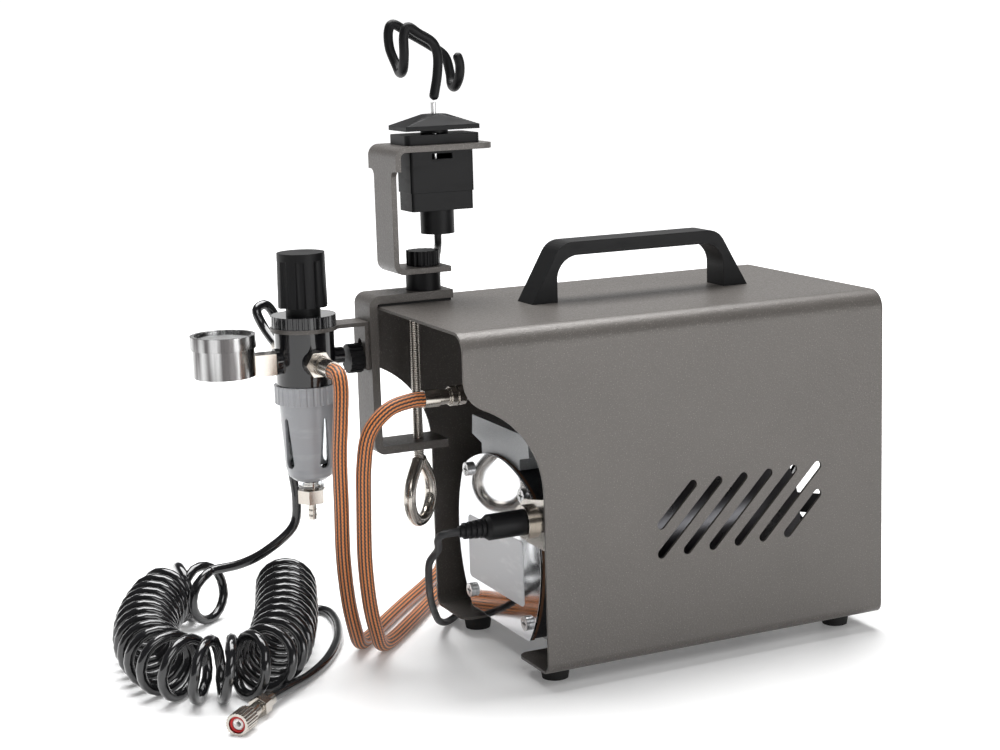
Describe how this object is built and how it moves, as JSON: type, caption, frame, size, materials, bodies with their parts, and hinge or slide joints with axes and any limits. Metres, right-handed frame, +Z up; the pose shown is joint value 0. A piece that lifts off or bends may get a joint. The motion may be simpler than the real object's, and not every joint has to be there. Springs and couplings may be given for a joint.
{
  "type": "airbrush compressor",
  "caption": "Airbrush compressor in a bent sheet case with a handle, a clamp-on switch hanger, a regulator with gauge and water trap, and braided and coiled hoses.",
  "frame": {"origin": "on the floor under the middle of the rigid parts", "axes": "+X along the case from its open end, +Y away from the vented side, +Z up"},
  "size_m": [0.3995, 0.2918, 0.3434],
  "materials": {
    "case_paint": "fine textured warm grey paint",
    "black_plastic": "satin moulded plastic",
    "gloss_black": "gloss",
    "black_rubber": "matte",
    "nickel": "nickel plate",
    "steel": "turned steel",
    "plate_steel": "polished sheet",
    "dark_alloy": "dark cast alloy",
    "alloy": "machined alloy",
    "grey_paint": "satin grey paint",
    "gasket_fibre": "fibre gasket",
    "winding": "varnished winding",
    "silver_plastic": "silver-grey plastic",
    "dial_white": "satin enamel",
    "needle_black": "satin",
    "clear": "clear",
    "hose_black": "gloss polyurethane",
    "braid": "orange, black and white braid",
    "blue_plastic": "satin"
  },
  "bodies": {
    "compressor": {"case_shell": "case_paint", "handle": "black_plastic", "case_screws": "steel", "rubber_feet": "black_rubber", "chassis_tray": "grey_paint", "end_plate": "plate_steel", "end_gasket": "gasket_fibre", "plate_screws": "steel", "pump_housing": "dark_alloy", "pump_cylinder": "alloy", "cylinder_head": "alloy", "head_shroud": "grey_paint", "motor_can": "grey_paint", "outlet_pipe": "nickel", "socket_bracket": "nickel", "dc_socket": "nickel", "clamp_frame": "case_paint", "jaw_pad": "black_rubber", "thumb_studs": "steel", "hanger_boss": "black_plastic", "regulator_bracket": "case_paint", "regulator_body": "gloss_black", "collar_nut": "gloss_black", "bonnet": "gloss_black", "gauge_can": "steel", "gauge_dial": "dial_white", "gauge_glass": "clear", "gauge_stem": "nickel", "bowl_ring": "silver_plastic", "bowl_guard": "silver_plastic", "clear_bowl": "clear", "drain_nut": "nickel", "hose_fittings": "nickel", "switch_lead": "hose_black", "dc_plug": "black_plastic", "supply_hose": "braid", "coil_hose_ends": "hose_black", "hose_coil": "hose_black", "airbrush_nut": "nickel"},
    "clamp_foot": {"clamp_pad": "nickel"},
    "clamp_screw": {"eye_bolt": "nickel"},
    "hanger": {"hanger_bracket": "case_paint", "switch_bezel": "black_plastic", "switch_body": "black_plastic", "switch_base": "black_plastic", "micro_switch": "blue_plastic"},
    "hanger_plunger": {"plunger": "steel", "hook_cap": "black_plastic"},
    "hook": {"hook_wire": "black_plastic"},
    "hanger_grip": {"hanger_knob": "black_plastic"},
    "bracket_grip": {"bracket_knob": "black_plastic"},
    "adjuster": {"adjust_screw": "steel"},
    "pressure_knob": {"regulator_knob": "black_plastic"},
    "needle": {"gauge_pointer": "needle_black"},
    "drain": {"drain_pin": "nickel"},
    "rotor": {"crankshaft": "steel", "armature": "winding", "cooling_fan": "black_plastic"},
    "conrod": {"connecting_rod": "alloy"},
    "piston_set": {"piston": "alloy"}
  },
  "joints": [
    {"name": "clamp_pad_slide", "type": "slide", "parent": "compressor", "child": "clamp_foot", "axis": [0, 0, 1], "range_m": [-0.03, 0]},
    {"name": "clamp_screw_turn", "type": "hinge", "parent": "clamp_foot", "child": "clamp_screw", "pos_m": [-0.04965, 0.039, 0.1495], "axis": [0, 0, 1], "range_deg": [-10800, 0]},
    {"name": "hanger_swivel", "type": "hinge", "parent": "compressor", "child": "hanger", "pos_m": [-0.04325, 0.039, 0.2085], "axis": [0, 0, 1], "range_deg": [-60, 60]},
    {"name": "hanger_press", "type": "slide", "parent": "hanger", "child": "hanger_plunger", "axis": [0, 0, -1], "range_m": [0, 0.0019], "stiffness_N_per_m": 400, "springref_m": -0.002},
    {"name": "hook_turn", "type": "hinge", "parent": "hanger_plunger", "child": "hook", "pos_m": [-0.03365, 0.039, 0.2975], "axis": [0, 0, 1], "range_deg": [-180, 180]},
    {"name": "hanger_knob_turn", "type": "hinge", "parent": "compressor", "child": "hanger_grip", "pos_m": [-0.04325, 0.039, 0.2145], "axis": [0, 0, 1], "range_deg": [0, 360]},
    {"name": "bracket_knob_turn", "type": "hinge", "parent": "compressor", "child": "bracket_grip", "pos_m": [-0.08565, 0.039, 0.163], "axis": [-1, 0, 0], "range_deg": [0, 360]},
    {"name": "pressure_turn", "type": "hinge", "parent": "compressor", "child": "adjuster", "pos_m": [-0.11315, 0.039, 0.2095], "axis": [0, 0, 1], "range_deg": [-1080, 0]},
    {"name": "pressure_knob_pull", "type": "slide", "parent": "adjuster", "child": "pressure_knob", "axis": [0, 0, 1], "range_m": [0, 0.0025]},
    {"name": "needle_turn", "type": "hinge", "parent": "compressor", "child": "needle", "pos_m": [-0.15815, 0.039, 0.1745], "axis": [0, 0, 1], "range_deg": [-270, 0], "stiffness_Nm_per_rad": 0.00002},
    {"name": "drain_press", "type": "slide", "parent": "compressor", "child": "drain", "axis": [0, 0, 1], "range_m": [0, 0.002], "stiffness_N_per_m": 300, "springref_m": -0.002},
    {"name": "motor_spin", "type": "hinge", "parent": "compressor", "child": "rotor", "pos_m": [0.06235, -0.008, 0.061], "axis": [1, 0, 0], "continuous": true},
    {"name": "rod_turn", "type": "hinge", "parent": "rotor", "child": "conrod", "pos_m": [0.00135, -0.005, 0.061], "axis": [1, 0, 0], "continuous": true},
    {"name": "piston_stroke", "type": "slide", "parent": "compressor", "child": "piston_set", "axis": [0, 0, 1], "range_m": [-0.003, 0.003]}
  ],
  "couplings": [
    {"joint": "clamp_screw_turn", "follows": "clamp_pad_slide", "rad_per_m": 6283.2},
    {"joint": "rod_turn", "follows": "motor_spin", "ratio": -1}
  ]
}
